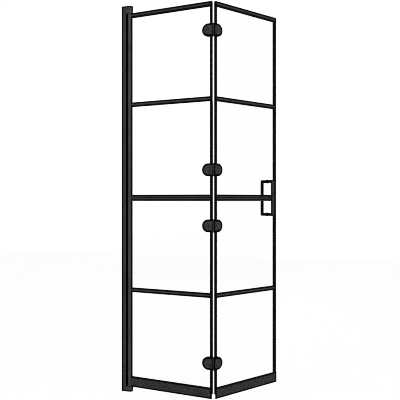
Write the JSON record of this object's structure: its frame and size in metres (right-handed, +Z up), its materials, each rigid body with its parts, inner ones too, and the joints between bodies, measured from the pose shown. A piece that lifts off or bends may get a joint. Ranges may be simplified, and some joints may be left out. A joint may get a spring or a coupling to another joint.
{
  "type": "folding shower door",
  "caption": "Folding shower door: glass leaves on a wall jamb with black frame bars, clamp hinges at the fold and back-to-back handles, shown half folded.",
  "frame": {"origin": "on the wall, at the foot of the wall channel and in the middle of its back face", "axes": "+X along the closed doorway away from the wall, +Y into the shower, +Z up"},
  "size_m": [0.6937, 0.3706, 1.85],
  "materials": {
    "black_profile": "matte black powder coat on aluminium profiles",
    "black_hardware": "satin black coat on cast hinges, blocks and handles",
    "clear_glass": "clear toughened glass, polished edges",
    "dark_seal": "matte black soft seal",
    "clear_seal": "clear soft vinyl",
    "pin_steel": "turned stainless steel"
  },
  "bodies": {
    "root": {"closing_stile": "black_profile", "fold_seal": "clear_seal", "handle_sleeves": "clear_seal", "handle_washers": "dark_seal", "hinge_1_inner_leaf": "black_hardware", "hinge_1_outer_leaf": "black_hardware", "hinge_1_pin": "pin_steel", "hinge_2_inner_leaf": "black_hardware", "hinge_2_outer_leaf": "black_hardware", "hinge_2_pin": "pin_steel", "hinge_3_inner_leaf": "black_hardware", "hinge_3_outer_leaf": "black_hardware", "hinge_3_pin": "pin_steel", "hinge_4_inner_leaf": "black_hardware", "hinge_4_outer_leaf": "black_hardware", "hinge_4_pin": "pin_steel", "inner_bottom_rail": "black_profile", "inner_drip_seal": "clear_seal", "inner_fold_stile": "black_profile", "inner_glass": "clear_glass", "inner_lower_bar": "black_profile", "inner_middle_bar": "black_profile", "inner_top_bar": "black_profile", "inner_upper_bar": "black_profile", "inside_handle": "black_hardware", "jamb_profile": "black_profile", "jamb_seal": "dark_seal", "lower_pivot_block": "black_hardware", "lower_pivot_pin": "pin_steel", "magnetic_strip": "dark_seal", "outer_bottom_rail": "black_profile", "outer_drip_seal": "clear_seal", "outer_fold_stile": "black_profile", "outer_glass": "clear_glass", "outer_lower_bar": "black_profile", "outer_middle_bar": "black_profile", "outer_top_bar": "black_profile", "outer_upper_bar": "black_profile", "outside_handle": "black_hardware", "pivot_stile": "black_profile", "upper_pivot_block": "black_hardware", "upper_pivot_pin": "pin_steel", "wall_channel": "black_profile"}
  },
  "joints": []
}
